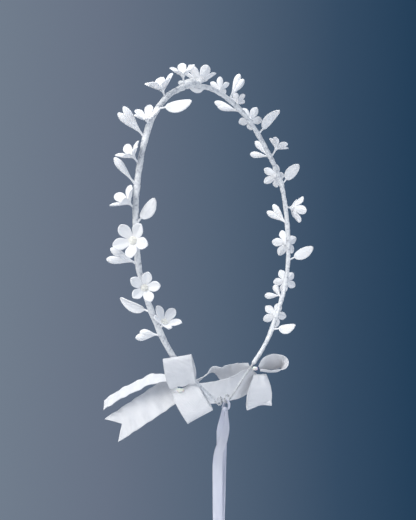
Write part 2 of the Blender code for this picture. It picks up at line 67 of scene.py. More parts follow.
# Design sizes of the part, repeated from its source.
RING_WIDTH = 0.162
RING_HEIGHT = 0.183
LEFT_WRAP_RADIUS = 0.0016
RIGHT_WRAP_RADIUS = 0.0014
LAP_CLEARANCE = 0.0004
LAP_SHARE = -0.136
LAP_HALF = 0.010
LAP_FADE = 0.012
BINDING_HALF = 0.0013
BINDING_CLEARANCE = 0.0008
LEFT_TAPE_END = 0.975
RIGHT_TAPE_END = 0.880
EYELET_RADIUS = 0.0022
EYELET_TURN = 280
STEM_RADIUS = 0.0005
CUP_SHARE = 0.36
PETALS = 5
BUD_SHARE = 0.72
BUD_RADIUS = 0.0021
FORK_REACH = 0.0034
LEAF_HALF_WIDTH = 0.0036
LEAF_STEM = 0.0035
BOW_RIBBON_WIDTH = 0.016
BOW_TURN = -56
TAIL_NOTCH = 0.007
TIE_WIDTH = 0.006
TIE_LENGTH = 0.250
KNOT_OFFSET = Vector((-0.0018, 0.0, -0.0038))
KNOT_HALF = Vector((0.0030, 0.0017, 0.0015))

# Sizes of detail that only the look has.
PETAL_FUSED = 0.36
DOME_SHARE = 0.25
GRAINS = 9
TAPE_PITCH = 0.0052
TAPE_STEP = 0.0001
TAPE_SIDES = 24
TAPE_RING = 0.0004
TAPE_SEAT = 0.00012
TAPE_CRINKLE = 0.00016
TAPE_END_ROUNDING = 0.0012
STEM_LUMP = 0.00022
STEM_LUMP_MOST = 0.00032
STEM_LUMP_REACH = 0.004
BINDING_COVER = 0.0004
BINDING_PITCH = 0.0018
BINDING_STEP = 0.00014
STRAND_RADIUS = 0.00036
STRAND_PITCH = 0.0030
STRAND_STEP = 0.0003
PETAL_WALL = 0.0007
RIBBON_WALL = 0.00035
RIBBON_ROW = 0.0005
RIPPLE_LENGTH = 0.0085
FINE_RIPPLE_LENGTH = 0.0047
GATHER_HEIGHT = 0.0005
GLUE_SHARE = 0.8
SATIN_WALL = 0.00022
# How far the tails' tops reach up into the knot, and the length over which they widen below it.
TAIL_TUCK = 0.0014
TAIL_GATHER = 0.014

# How finely routes are divided.
HOOP_STEPS = 400
EYELET_STEPS = 28
STRIP_STEPS = 200
TURN_WINDOW = 17
TAIL_STEPS = 160
TAIL_ROWS = 260

LEFT_OUTLINE = (
    (-0.086, 0.000), (-0.136, 0.000), (-0.260, 0.047), (-0.358, 0.129), (-0.414, 0.238),
    (-0.444, 0.364), (-0.441, 0.500), (-0.420, 0.593), (-0.352, 0.708), (-0.247, 0.828),
    (-0.105, 0.927), (0.046, 1.010),
)
RIGHT_OUTLINE = (
    (-0.185, 0.001), (-0.093, 0.000), (0.000, 0.000), (0.123, 0.025), (0.247, 0.074),
    (0.370, 0.156), (0.488, 0.266), (0.540, 0.402), (0.551, 0.544), (0.512, 0.659),
    (0.432, 0.774), (0.352, 0.850), (0.228, 0.929), (0.108, 1.006),
)

# Flowers: hoop, share along it, reach to the rim in mm, diameter in mm, side, along and spin in degrees.
FLOWERS = (
    ("left", 0.697, 12.5, 17.0, -98, -46, 10),
    ("left", 0.590, 10.5, 17.0, -46, -26, 5),
    ("left", 0.484, 11.5, 20.0, -19, -9, 0),
    ("left", 0.418, 11.5, 17.0, 27, -42, 50),
    ("left", 0.320, 11.5, 15.5, 18, -33, 20),
    ("left", 0.232, 10.5, 15.0, -16, -26, 40),
    ("left", 0.137, 11.5, 18.0, 6, -13, 0),
    ("left", 0.067, 12.0, 15.0, -12, 6, 0),
    ("right", 0.070, 10.0, 18.5, 14, 22, 35),
    ("right", 0.132, 9.0, 11.5, 30, 30, 5),
    ("right", 0.204, 8.8, 11.0, 24, 9, 50),
    ("right", 0.256, 10.0, 15.5, 33, 32, 25),
    ("right", 0.367, 12.6, 14.5, -17, -15, 45),
    ("right", 0.418, 10.0, 15.0, 55, 17, 10),
    ("right", 0.489, 11.0, 17.5, -32, 20, 55),
    ("right", 0.569, 10.0, 17.0, 46, 6, 30),
    ("right", 0.658, 10.0, 15.5, 34, -18, 0),
    ("right", 0.741, 10.0, 16.0, 45, -24, 40),
)

# Bud pairs: hoop, share, then reach in mm, side and along in degrees of the first and of the second bud.
BUD_PAIRS = (
    ("left", 0.713, 12.5, 53, -36, 14.7, 45, -24),
    ("left", 0.535, 17.6, 43, -40, 17.5, 42, -20),
    ("left", 0.367, 19.6, 25, -41, 18.4, 44, -46),
    ("left", 0.260, 20.8, 21, -33, 20.1, 28, -22),
    ("right", 0.170, 20.4, 0, 15, 18.2, -9, 22),
    ("right", 0.225, 19.5, 76, -24, 16.8, 82, -23),
    ("right", 0.372, 18.3, 52, -24, 16.1, 81, -13),
    ("right", 0.532, 19.4, 66, -44, 18.2, 84, -31),
    ("right", 0.699, 13.0, 88, -50, 13.0, 92, -8),
)

# Leaves: hoop, share, reach to the tip in mm, side, along and spin in degrees.
LEAVES = (
    ("left", 0.649, 21.3, 92, -22, 0),
    ("left", 0.450, 19.2, -93, -46, 0),
    ("left", 0.178, 21.1, -93, -13, 25),
    ("right", 0.107, 15.0, 95, -50, 0),
    ("right", 0.298, 20.7, -51, -24, 0),
    ("right", 0.441, 18.2, -63, -39, 0),
    ("right", 0.609, 19.5, -83, -27, 0),
    ("right", 0.777, 16.3, -86, -14, 0),
)

# Bows: each one's place on its hoop, then its ribbons: name, across direction, turns in degrees at even steps
# along it, width at the root, length of the flare and height of the ripple in mm, and the route in mm in the
# bow's frame (X across, Y away, Z up).
LEFT_BOW_SHARE = 0.84
LEFT_BOW_OFFSET = Vector((-0.0042, 0.0005, -0.0062))
LEFT_BOW_STRIPS = (
    ("left_bow_upper_loop", (0.99, 0.0, 0.16), (0, 0), 14.5, 6.0, 0.10,
     ((1.2, 0.2, 2.0), (0.6, -1.8, 7.0), (-0.6, -6.2, 12.0), (-1.5, -9.6, 15.6), (-1.7, -11.6, 15.8),
      (-1.4, -12.4, 13.4), (-0.7, -10.2, 8.0), (0.6, -6.2, 1.6), (1.0, -4.6, -0.6))),
    ("left_bow_lower_loop", (0.87, 0.0, 0.49), (0, 0), 14.0, 6.0, 0.15,
     ((2.8, 0.9, -3.4), (6.6, 1.6, -9.3), (10.4, 0.2, -16.6), (10.9, -2.0, -18.0), (10.2, -4.2, -16.8),
      (6.0, -5.2, -9.9), (1.6, -2.4, -1.6))),
    ("left_bow_long_tail", (-0.47, 0.38, 0.8), (0, 0), 14.0, 6.0, 0.45,
     ((-1.8, 6.2, -2.7), (-6.8, 4.7, -5.1), (-16.5, 1.8, -11.3), (-27.0, 0.0, -18.1), (-38.9, -1.0, -25.9))),
    ("left_bow_narrow_tail", (0.0, 0.96, 0.26), (0, 0), 7.0, 12.0, 0.20,
     ((-1.9, 3.2, -3.1), (-9.8, 1.8, -3.6), (-14.1, 1.4, -4.4), (-19.2, 1.4, -7.0), (-29.4, 1.8, -12.0),
      (-37.7, 2.2, -17.3), (-39.9, 2.4, -19.0))),
)
# The long tail is cut to a notch, and the narrow tail's route is given from the long tail's upper edge.
NOTCHED_TAIL = "left_bow_long_tail"
EDGE_TAIL = "left_bow_narrow_tail"
EDGE_DIRECTION = (-0.47, 0.38, 0.80)
RIGHT_BOW_SHARE = 0.885
RIGHT_BOW_OFFSET = Vector((0.0021, -0.0013, -0.0029))
RIGHT_BOW_STRIPS = (
    ("right_bow_left_loop", (-0.46, -0.41, 0.79), (0, 0, 0, -15, -62, -62, -30, 0, 0, 0, 0, 0, 0),
     10.0, 8.0, 0.15,
     ((-2.0, 1.0, 0.2), (-8.0, 4.2, -2.6), (-15.0, 5.4, -3.6), (-20.5, 5.6, -2.6), (-25.5, 5.8, -1.0),
      (-31.0, 6.0, -4.2), (-35.6, 5.2, -8.0), (-37.2, 2.6, -12.0), (-34.5, -0.4, -14.6),
      (-29.5, -1.7, -14.4), (-22.0, -2.4, -13.2), (-13.0, -2.1, -11.0), (-6.6, -0.8, -7.6),
      (-0.5, 1.4, -3.0))),
    ("right_bow_upper_loop", (0.0, -0.98, 0.17), (-33, -33, -32, -15, 0, 0, 0), 6.0, 10.0, 0.08,
     ((2.4, 1.3, 0.8), (6.3, 2.4, 3.7), (11.5, 2.6, 4.6), (16.0, 2.0, 5.0), (17.9, 1.2, 3.4),
      (16.2, 0.8, 0.2), (11.0, 0.8, -1.2), (6.5, 0.9, -1.1), (2.9, 0.9, -0.5))),
    ("right_bow_lower_loop", (0.9, 0.3, 0.3), (0, 0), 8.0, 14.0, 0.12,
     ((2.6, 0.8, -2.9), (2.7, 0.9, -11.5), (2.0, -1.0, -20.0), (1.9, -2.4, -21.8), (2.0, -3.8, -19.8),
      (2.6, -3.6, -11.5), (2.4, -2.2, -3.2))),
)
LEFT_GLUE = (Vector((-0.0004, -0.0039, -0.0030)), Vector((0.0026, 0.0006, 0.0015)))
RIGHT_GLUE = (Vector((-0.0006, -0.0026, 0.0009)), Vector((0.0020, 0.0010, 0.0016)))

# Satin tails from under the knot: mm across and away in the bow's directions, share of the length down, and
# the turn of the ribbon's face in degrees.
FRONT_TAIL = (
    (1.2, -1.0, 0.0, 40), (1.0, -1.4, 0.03, 44), (-1.2, -2.2, 0.065, 34), (-4.1, -2.8, 0.105, 12),
    (-4.5, -2.8, 0.18, -6), (-4.1, -2.6, 0.40, -10), (-3.9, -2.6, 1.0, 8),
)
BACK_TAIL = (
    (-1.4, 0.6, 0.0, -24), (-2.2, 0.2, 0.03, -18), (-2.1, -0.2, 0.08, 0), (-2.7, -0.4, 0.18, 8),
    (-3.7, -0.5, 0.40, 6), (-3.9, -0.5, 1.0, -8),
)


# Routes and frames.

def smooth_route(points, steps):
    """Evenly spaced points on a Catmull-Rom curve through the given rows of numbers."""
    points = np.array(points, float)
    last = len(points) - 1
    t = (np.arange(16) / 16)[:, None]
    dense = []
    for i in range(last):
        before, start, end, after = points[max(i - 1, 0)], points[i], points[i + 1], points[min(i + 2, last)]
        dense.append(0.5 * (2 * start + (end - before) * t
                            + (2 * before - 5 * start + 4 * end - after) * t ** 2
                            + (3 * start - before - 3 * end + after) * t ** 3))
    dense.append(points[-1:])
    return resample(np.concatenate(dense), steps)


def travelled(points):
    steps = np.linalg.norm(np.diff(points[:, :3], axis=0), axis=1)
    return np.concatenate([[0.0], np.cumsum(steps)])


def resample(points, steps):
    along = travelled(points)
    wanted = np.linspace(0, along[-1], steps + 1)
    return np.stack([np.interp(wanted, along, column) for column in points.T], axis=1)


def unit(vectors):
    return vectors / np.linalg.norm(vectors, axis=-1, keepdims=True)


def smoothstep(x):
    x = np.clip(x, 0.0, 1.0)
    return x * x * (3 - 2 * x)


class Path:
    """A fine route with a level and a face direction at each point, read by length from its start."""

    def __init__(self, points, across, turns=None):
        self.points = points[:, :3]
        self.lengths = travelled(points)
        self.total = self.lengths[-1]
        along = unit(np.gradient(self.points, self.lengths, axis=0))
        across = np.broadcast_to(np.array(across, float), along.shape)
        level = unit(across - (across * along).sum(1, keepdims=True) * along)
        face = np.cross(along, level)
        if turns is not None:
            cosine, sine = np.cos(turns)[:, None], np.sin(turns)[:, None]
            level, face = cosine * level + sine * face, cosine * face - sine * level
        self.level, self.face = level, face

    def read(self, values, s):
        return np.stack([np.interp(s, self.lengths, column) for column in values.T], axis=-1)

    def frames(self, s):
        return self.read(self.points, s), unit(self.read(self.level, s)), unit(self.read(self.face, s))


class Hoop:
    """One half hoop's route from the lap to the eyelet, as the part's source works it out."""

    def __init__(self, name, outline, wrap_radius, lap_side):
        self.name = name
        self.body = name + "_half"
        self.wrap_radius = wrap_radius
        offset = lap_side * (LEFT_WRAP_RADIUS + RIGHT_WRAP_RADIUS + LAP_CLEARANCE) / 2
        rows = [(x * RING_WIDTH, 0.0, RIGHT_WRAP_RADIUS - down * RING_HEIGHT) for x, down in outline]
        fine = smooth_route(rows, HOOP_STEPS)
        away = (np.abs(fine[:, 0] - LAP_SHARE * RING_WIDTH) - LAP_HALF) / LAP_FADE
        ease = np.where(fine[:, 2] > -RING_HEIGHT / 2, smoothstep(away), 1.0)
        fine[:, 1] = offset * (1 - ease)
        self.fine = fine

    def at(self, share):
        """(point, tangent, outward normal) at a share of the hoop's length."""
        i = min(max(round(share * HOOP_STEPS), 1), HOOP_STEPS - 1)
        point = Vector(self.fine[i])
        along = Vector(self.fine[i + 1] - self.fine[i - 1]).normalized()
        outward = Vector((-along.z, 0, along.x)).normalized()
        middle = Vector((0.05 * RING_WIDTH, 0, -RING_HEIGHT / 2))
        if outward.dot(point - middle) < 0:
            outward = -outward
        return point, along, outward

    def direction(self, share, side, lean):
        _, along, outward = self.at(share)
        side, lean = math.radians(side), math.radians(lean)
        flat = math.cos(side) * outward + math.sin(side) * Vector((0, 1, 0))
        return (math.cos(lean) * flat + math.sin(lean) * along).normalized()

    def eyelet(self):
        """The end loop's centre and its points, turning upwards from the hoop's end."""
        end = Vector(self.fine[-1])
        along = Vector(self.fine[-1] - self.fine[-6]).normalized()
        up = Vector((0, 0, 1))
        up = (up - up.dot(along) * along).normalized()
        centre = end + EYELET_RADIUS * up
        points = []
        for k in range(1, EYELET_STEPS + 1):
            angle = math.radians(EYELET_TURN) * k / EYELET_STEPS
            points.append(centre + EYELET_RADIUS * (math.sin(angle) * along - math.cos(angle) * up))
        return centre, points


def stem_frame(hoop, share, side, lean, spin):
    """The turn whose Z is the stem's direction and whose X follows the hoop, turned by spin."""
    _, along, _ = hoop.at(share)
    z_axis = hoop.direction(share, side, lean)
    x_axis = (along - along.dot(z_axis) * z_axis).normalized()
    turned = Matrix((x_axis, z_axis.cross(x_axis), z_axis)).transposed()
    return turned @ Matrix.Rotation(math.radians(spin), 3, "Z")


def bow_turn():
    return Matrix.Rotation(math.radians(BOW_TURN), 3, "Z")


# Meshes. A shape is (points, faces), and some carry a third list, with a number or pair for each point.

def ring_faces(rows, around):
    i, j = np.meshgrid(np.arange(rows - 1), np.arange(around), indexing="ij")
    following = (j + 1) % around
    quads = np.stack([i * around + j, i * around + following, (i + 1) * around + following,
                      (i + 1) * around + j], axis=-1)
    return [tuple(quad) for quad in quads.reshape(-1, 4).tolist()]


def tube(rings):
    """A closed body through rings of points, shaped (rows, around, 3)."""
    rows, around, _ = rings.shape
    first = tuple(range(around))[::-1]
    last = tuple(range((rows - 1) * around, rows * around))
    return rings.reshape(-1, 3), ring_faces(rows, around) + [first, last]


def shell(path, s, v, half, top, bottom):
    """A thin closed body along a path, and each of its points' place in mm.

    All arrays are (rows, columns): length along, place across from -1 to 1, half width, and the heights of
    the two faces over the middle.
    """
    centre, level, face = path.frames(s)
    middle = centre + level * (v * half)[..., None]
    upper = middle + face * top[..., None]
    lower = middle + face * bottom[..., None]
    rings = np.concatenate([upper, lower[:, ::-1]], axis=1)
    rows, around, _ = rings.shape
    faces = ring_faces(rows, around)
    for start in (0, (rows - 1) * around):
        for k in range(around // 2 - 1):
            quad = (start + k, start + k + 1, start + around - 2 - k, start + around - 1 - k)
            faces.append(quad if start else quad[::-1])
    place = np.stack([v * half, s], axis=-1) * 1000
    place = np.concatenate([place, place[:, ::-1]], axis=1)
    return rings.reshape(-1, 3), faces, place.reshape(-1, 2)


def join(shapes):
    """One shape from several, each (points, faces)."""
    points, faces, offset = [], [], 0
    for some_points, some_faces in shapes:
        points.append(np.asarray(some_points))
        faces += [tuple(i + offset for i in face) for face in some_faces]
        offset += len(some_points)
    return np.concatenate(points), faces


def round_rings(points, radii, sides):
    """Rings of the given radii round a route, held level to one steady side direction."""
    along = unit(np.gradient(points, axis=0))
    steady = np.array((0.31, 0.93, 0.18))
    side = unit(np.cross(along, steady))
    other = np.cross(along, side)
    angle = 2 * np.pi * np.arange(sides) / sides
    rim = np.cos(angle)[None, :, None] * side[:, None] + np.sin(angle)[None, :, None] * other[:, None]
    return points[:, None] + rim * np.asarray(radii)[:, None, None]


def bead(centre, radius, squash=1.0):
    """A small rounded grain."""
    angles = np.pi * np.arange(1, 6) / 6
    around = 2 * np.pi * np.arange(8) / 8
    ring = np.stack([np.cos(around), np.sin(around)], axis=-1)
    rings = np.zeros((5, 8, 3))
    rings[..., :2] = radius * np.sin(angles)[:, None, None] * ring[None]
    rings[..., 2] = -radius * squash * np.cos(angles)[:, None]
    return tube(rings + np.array(centre))


def add_piece(name, shape, material, body, node, place=None, relief=None, weld=False):
    """Makes the piece, which stands for its CAD node and rides on its body."""
    points, faces = shape[:2]
    mesh = bpy.data.meshes.new(name)
    mesh.from_pydata([tuple(p) for p in points], [], faces)
    if place is not None:
        layer = mesh.uv_layers.new(name="place_mm")
        corners = np.empty(len(mesh.loops), np.int32)
        mesh.loops.foreach_get("vertex_index", corners)
        layer.data.foreach_set("uv", np.asarray(place)[corners].astype(np.float32).reshape(-1))
    if relief is not None:
        attribute = mesh.attributes.new("relief", "FLOAT", "POINT")
        attribute.data.foreach_set("value", np.asarray(relief, np.float32).reshape(-1))
    bm = bmesh.new()
    bm.from_mesh(mesh)
    if weld:
        bmesh.ops.remove_doubles(bm, verts=bm.verts, dist=1e-6)
    bmesh.ops.recalc_face_normals(bm, faces=bm.faces)
    bm.to_mesh(mesh)
    bm.free()
    mesh.shade_smooth()
    mesh.materials.append(material)
    obj = bpy.data.objects.new(name, mesh)
    bpy.context.scene.collection.objects.link(obj)
    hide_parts(node)
    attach(obj, body)
    return obj


# Materials.

class Shading:
    """A node material with a few short ways to add nodes and join them."""

    def __init__(self, name, colour, roughness, **sockets):
        self.material = bpy.data.materials.new(name)
        self.material.use_nodes = True
        self.tree = self.material.node_tree
        self.shader = self.tree.nodes["Principled BSDF"]
        self.shader.inputs["Base Color"].default_value = (*colour, 1)
        self.shader.inputs["Roughness"].default_value = roughness
        for socket, value in sockets.items():
            self.shader.inputs[socket.replace("_", " ")].default_value = value
        self.coords = self.tree.nodes.new("ShaderNodeTexCoord")

    def node(self, kind, **settings):
        made = self.tree.nodes.new(kind)
        for key, value in settings.items():
            setattr(made, key, value)
        return made

    def join(self, source, target):
        self.tree.links.new(source, target)

    def noise(self, scale, detail=3.0, roughness=0.55, stretch=None, coords="Object"):
        made = self.node("ShaderNodeTexNoise")
        made.inputs["Scale"].default_value = scale
        made.inputs["Detail"].default_value = detail
        made.inputs["Roughness"].default_value = roughness
        source = self.coords.outputs[coords]
        if stretch is not None:
            mapping = self.node("ShaderNodeMapping")
            mapping.inputs["Scale"].default_value = stretch
            self.join(source, mapping.inputs["Vector"])
            source = mapping.outputs["Vector"]
        self.join(source, made.inputs["Vector"])
        return made.outputs["Fac"]

    def attribute(self, name):
        return self.node("ShaderNodeAttribute", attribute_name=name).outputs["Fac"]

    def math(self, operation, first, second=None, clamp=False):
        made = self.node("ShaderNodeMath", operation=operation, use_clamp=clamp)
        for socket, value in zip(made.inputs, (first, second)):
            if isinstance(value, (int, float)):
                socket.default_value = value
            elif value is not None:
                self.join(value, socket)
        return made.outputs["Value"]

    def ramp(self, factor, stops):
        made = self.node("ShaderNodeValToRGB")
        elements = made.color_ramp.elements
        while len(elements) < len(stops):
            elements.new(0.5)
        for element, (position, colour) in zip(elements, stops):
            element.position = position
            element.color = (*colour, 1)
        self.join(factor, made.inputs["Fac"])
        return made.outputs["Color"]

    def spread(self, value, low, high, to_low, to_high):
        made = self.node("ShaderNodeMapRange")
        for socket, number in zip(("From Min", "From Max", "To Min", "To Max"), (low, high, to_low, to_high)):
            made.inputs[socket].default_value = number
        self.join(value, made.inputs["Value"])
        return made.outputs["Result"]

    def colour(self, source):
        self.join(source, self.shader.inputs["Base Color"])

    def rough(self, source):
        self.join(source, self.shader.inputs["Roughness"])

    def bumps(self, *heights):
        """Bump nodes in a chain: each height is (socket, distance in metres, strength)."""
        normal = None
        for socket, distance, strength in heights:
            made = self.node("ShaderNodeBump")
            made.inputs["Distance"].default_value = distance
            made.inputs["Strength"].default_value = strength
            self.join(socket, made.inputs["Height"])
            if normal is not None:
                self.join(normal, made.inputs["Normal"])
            normal = made.outputs["Normal"]
        self.join(normal, self.shader.inputs["Normal"])


def petal_material():
    """Matt white moulded compound: fine grain, faint lengthwise veins and a warmer ivory at the flowers'
    centres, with painted shade along the petal creases, in the buds' grooves and inside the leaves' rims, and
    painted light on the leaves' rims.
    """
    look = Shading("petal_white", (0.86, 0.86, 0.87), 0.6, Subsurface_Weight=0.12, Subsurface_Scale=0.0012,
                   Specular_IOR_Level=0.35)
    look.shader.inputs["Subsurface Radius"].default_value = (1.0, 0.9, 0.8)
    mottle = look.noise(420, 4)
    # The relief tone carries painted shade and painted light as well as the centres' warmer ivory.
    relief = look.attribute("relief")
    total = look.math("ADD", look.math("MULTIPLY", mottle, 0.35), relief, clamp=True)
    look.colour(look.ramp(total, ((0.0, (0.79, 0.79, 0.80)), (0.30, (0.87, 0.87, 0.885)),
                                  (0.75, (0.90, 0.90, 0.91)), (1.0, (0.88, 0.865, 0.80)))))
    look.rough(look.spread(look.noise(900, 2), 0.3, 0.7, 0.50, 0.72))
    grain = look.noise(2600, 3)
    veins = look.noise(700, 2, stretch=(1, 1, 0.35))
    look.bumps((grain, 0.00010, 0.55), (veins, 0.00018, 0.35))
    return look.material


def tape_material():
    """Crepe floral tape: waxy grey-white, with painted shade in the groove at each lap's edge, painted light
    and shade on the crinkles, and small glints.
    """
    look = Shading("tape_white", (0.74, 0.75, 0.76), 0.5, Specular_IOR_Level=0.6)
    patch = look.noise(310, 5, 0.65)
    fine = look.noise(1500, 4, 0.7)
    relief = look.attribute("relief")
    mixed = look.math("ADD", look.math("MULTIPLY", patch, 0.75), look.math("MULTIPLY", fine, 0.35))
    total = look.math("ADD", look.math("SUBTRACT", mixed, 0.5), relief, clamp=True)
    look.colour(look.ramp(total, ((0.0, (0.46, 0.48, 0.51)), (0.22, (0.70, 0.71, 0.74)),
                                  (0.50, (0.83, 0.84, 0.85)), (1.0, (0.90, 0.90, 0.90)))))
    look.rough(look.spread(look.noise(1100, 3), 0.35, 0.65, 0.28, 0.75))
    look.bumps((patch, 0.00035, 0.6), (fine, 0.00020, 0.8))
    return look.material


def wire_material():
    """Dull florist wire with a light tarnish."""
    look = Shading("wire_steel", (0.62, 0.62, 0.63), 0.35, Metallic=0.75)
    tarnish = look.noise(900, 4, 0.6)
    look.colour(look.ramp(tarnish, ((0.35, (0.45, 0.45, 0.46)), (0.65, (0.82, 0.82, 0.83)))))
    look.rough(look.spread(tarnish, 0.3, 0.7, 0.22, 0.5))
    look.bumps((look.noise(2200, 2), 0.00008, 0.4))
    return look.material


def grosgrain_material():
    """Matt white grosgrain: a cross rib every 0.75 mm, fine warp between ribs and a woven edge line."""
    look = Shading("ribbon_white", (0.84, 0.85, 0.88), 0.8, Sheen_Weight=0.25, Sheen_Roughness=0.5,
                   Specular_IOR_Level=0.25)
    parts = look.node("ShaderNodeSeparateXYZ")
    look.join(look.coords.outputs["UV"], parts.inputs["Vector"])
    wander = look.math("MULTIPLY", look.noise(160, 2), 0.5)
    rib = look.math("SINE", look.math("MULTIPLY", look.math("ADD", parts.outputs["Y"], wander), 8.38))
    warp = look.math("SINE", look.math("MULTIPLY", parts.outputs["X"], 21.0))
    edge = look.spread(look.attribute("relief"), 0.86, 1.0, 0.0, 1.0)
    cloth = look.noise(240, 3)
    # The rib term paints light on the ribs' crests and shade in the troughs between them; the cloth noise is
    # random tone.
    tone = look.math("ADD", look.math("MULTIPLY", rib, 0.05), look.math("MULTIPLY", cloth, 0.6))
    total = look.math("SUBTRACT", look.math("ADD", tone, 0.2), look.math("MULTIPLY", edge, 0.22), clamp=True)
    look.colour(look.ramp(total, ((0.1, (0.74, 0.75, 0.78)), (0.5, (0.85, 0.855, 0.88)),
                                  (0.9, (0.90, 0.90, 0.92)))))
    look.rough(look.spread(cloth, 0.3, 0.7, 0.68, 0.88))
    look.bumps((cloth, 0.00045, 0.35), (rib, 0.00011, 0.8), (warp, 0.00005, 0.35))
    return look.material


def satin_material():
    """Lilac-white satin: soft gloss, fine warp lines along the ribbon and a faint watered tone."""
    look = Shading("satin_white", (0.76, 0.77, 0.86), 0.3, Sheen_Weight=0.35, Sheen_Roughness=0.3,
                   Specular_IOR_Level=0.7, Anisotropic=0.4)
    parts = look.node("ShaderNodeSeparateXYZ")
    look.join(look.coords.outputs["UV"], parts.inputs["Vector"])
    warp = look.math("SINE", look.math("MULTIPLY", parts.outputs["X"], 26.0))
    watered = look.noise(90, 3, stretch=(1, 1, 0.25))
    edge = look.spread(look.attribute("relief"), 0.84, 0.97, 0.0, 1.0)
    tone = look.math("ADD", watered, 0.1)
    total = look.math("SUBTRACT", tone, look.math("MULTIPLY", edge, 0.25), clamp=True)
    look.colour(look.ramp(total, ((0.2, (0.58, 0.60, 0.72)), (0.55, (0.74, 0.75, 0.85)),
                                  (0.85, (0.86, 0.87, 0.94)))))
    look.rough(look.spread(watered, 0.3, 0.7, 0.26, 0.42))
    look.bumps((watered, 0.0006, 0.3), (warp, 0.00003, 0.5))
    return look.material


def glue_material():
    """Set hot-melt glue: cloudy, yellowish, glossy."""
    look = Shading("glue_amber", (0.86, 0.84, 0.74), 0.25, Subsurface_Weight=0.4, Subsurface_Scale=0.002,
                   Coat_Weight=0.3)
    cloud = look.noise(500, 3)
    look.colour(look.ramp(cloud, ((0.3, (0.80, 0.79, 0.72)), (0.7, (0.86, 0.855, 0.81)))))
    look.rough(look.spread(cloud, 0.3, 0.7, 0.18, 0.36))
    look.bumps((look.noise(800, 2), 0.00015, 0.4))
    return look.material


def floor_material():
    look = Shading("studio_floor", (0.80, 0.81, 0.83), 0.8)
    look.colour(look.ramp(look.noise(9, 3), ((0.3, (0.77, 0.78, 0.80)), (0.7, (0.82, 0.83, 0.85)))))
    look.bumps((look.noise(300, 2), 0.0004, 0.2))
    return look.material


# Pieces.

def make_flower(number, hoop, row, material):
    _, share, reach, diameter, side, lean, spin = row
    reach, radius = reach / 1000, diameter / 2000
    cup = CUP_SHARE * diameter / 1000
    base = reach - cup
    rng = np.random.default_rng(number)
    u = np.array((0.0, 0.10, 0.20, 0.30, 0.40, 0.50, 0.60, 0.70, 0.80, 0.88, 0.94, 0.98, 1.0))
    v = np.array((-1.0, -0.72, -0.42, -0.16, 0.0, 0.16, 0.42, 0.72, 1.0))
    u, v = np.meshgrid(u, v, indexing="ij")
    free = np.clip((u - PETAL_FUSED) / (1 - PETAL_FUSED), 0, 1)
    half = (0.26 + 0.46 * free) * (1 - free ** 1.35) ** 0.80 * radius
    shapes, tones = [], []
    for k in range(PETALS):
        stretch = 1 + rng.uniform(-0.05, 0.05)
        lift = rng.uniform(-0.10, 0.10)
        warp = rng.uniform(-0.25, 0.25)
        r = radius * (u + (stretch - 1) * free * u)
        polar_x, polar_y = r * np.cos(v * np.pi / PETALS), r * np.sin(v * np.pi / PETALS)
        mixed = smoothstep((u - PETAL_FUSED) / 0.16)
        x = polar_x + (r - polar_x) * mixed
        y = polar_y + (v * half - polar_y) * mixed
        z = base + cup * (0.10 * u + 0.90 * u ** 1.3)
        z = z + free * radius * lift + free * half * warp * v
        z = z + mixed * half * 0.34 * v ** 2 - free * (1 - free) * radius * 0.16 * np.exp(-(v / 0.22) ** 2)
        z = z - 0.07 * radius * free ** 3
        angle = 2 * np.pi * k / PETALS
        cosine, sine = math.cos(angle), math.sin(angle)
        grid = np.stack([cosine * x - sine * y, sine * x + cosine * y, z], axis=-1)
        rows, columns = u.shape
        faces = []
        for i in range(rows - 1):
            for j in range(columns - 1):
                a = i * columns + j
                faces.append((a, a + 1, a + columns + 1, a + columns))
        shapes.append((grid.reshape(-1, 3), faces))
        # Painted shade along each petal's middle crease; the lighter, warmer tone at the petal's foot is the
        # flower's ivory centre.
        painted_crease_shade = 0.16 * np.exp(-(v / 0.2) ** 2) * free
        tones.append((0.30 - painted_crease_shade + 0.5 * np.exp(-(u / 0.22) ** 2)).reshape(-1))
    points, faces = join(shapes)
    turn = np.array(stem_frame(hoop, share, side, lean, spin))
    at = np.array(hoop.at(share)[0])
    obj = add_piece(f"flower_{number:02d}_petals", (points @ turn.T + at, faces), material, hoop.body,
                    f"flower_{number:02d}", relief=np.concatenate(tones), weld=True)
    wall = obj.modifiers.new("wall", "SOLIDIFY")
    wall.thickness = PETAL_WALL
    wall.offset = 0.0
    rounding = obj.modifiers.new("rounding", "SUBSURF")
    rounding.levels = rounding.render_levels = 1
    centre = flower_centre(rng, radius, base, cup, hoop.wrap_radius)
    add_piece(f"flower_{number:02d}_centre", (centre[0] @ turn.T + at, centre[1]), material, hoop.body,
              f"flower_{number:02d}", relief=centre[2])


def flower_centre(rng, radius, base, cup, wrap_radius):
    """The stem that swells into the cup's foot, the boss inside it and the grains on the boss."""
    heights = (0.5 * wrap_radius, 0.35 * base + 0.65 * wrap_radius, base - 0.0016, base - 0.0007, base,
               base + 0.0007)
    radii = (1.3 * STEM_RADIUS, STEM_RADIUS, 1.1 * STEM_RADIUS, 2.0 * STEM_RADIUS, 0.19 * radius,
             0.27 * radius)
    route = np.array([(0, 0, z) for z in heights])
    stem = tube(round_rings(route, radii, 14))
    dome_base = base + 0.0005
    dome_height = 0.34 * cup
    arc = np.linspace(0, 0.46 * np.pi, 6)
    route = np.stack([0 * arc, 0 * arc, dome_base + dome_height * np.sin(arc)], axis=1)
    dome = tube(round_rings(route, DOME_SHARE * radius * np.cos(arc) + 0.0001, 14))
    grains = []
    for k in range(GRAINS):
        angle = 2.4 * k + rng.uniform(-0.2, 0.2)
        out = 0.21 * radius * math.sqrt((k + 0.5) / GRAINS)
        top = dome_base + dome_height * math.sqrt(max(1 - (out / (0.255 * radius)) ** 2, 0.05))
        grain_at = (out * math.cos(angle), out * math.sin(angle), top)
        grains.append(bead(grain_at, 0.00040 + 0.0001 * rng.random()))
    points, faces = join([stem, dome] + grains)
    tones = np.where(points[:, 2] > dome_base + 0.3 * dome_height, 0.85, 0.35)
    return points, faces, tones


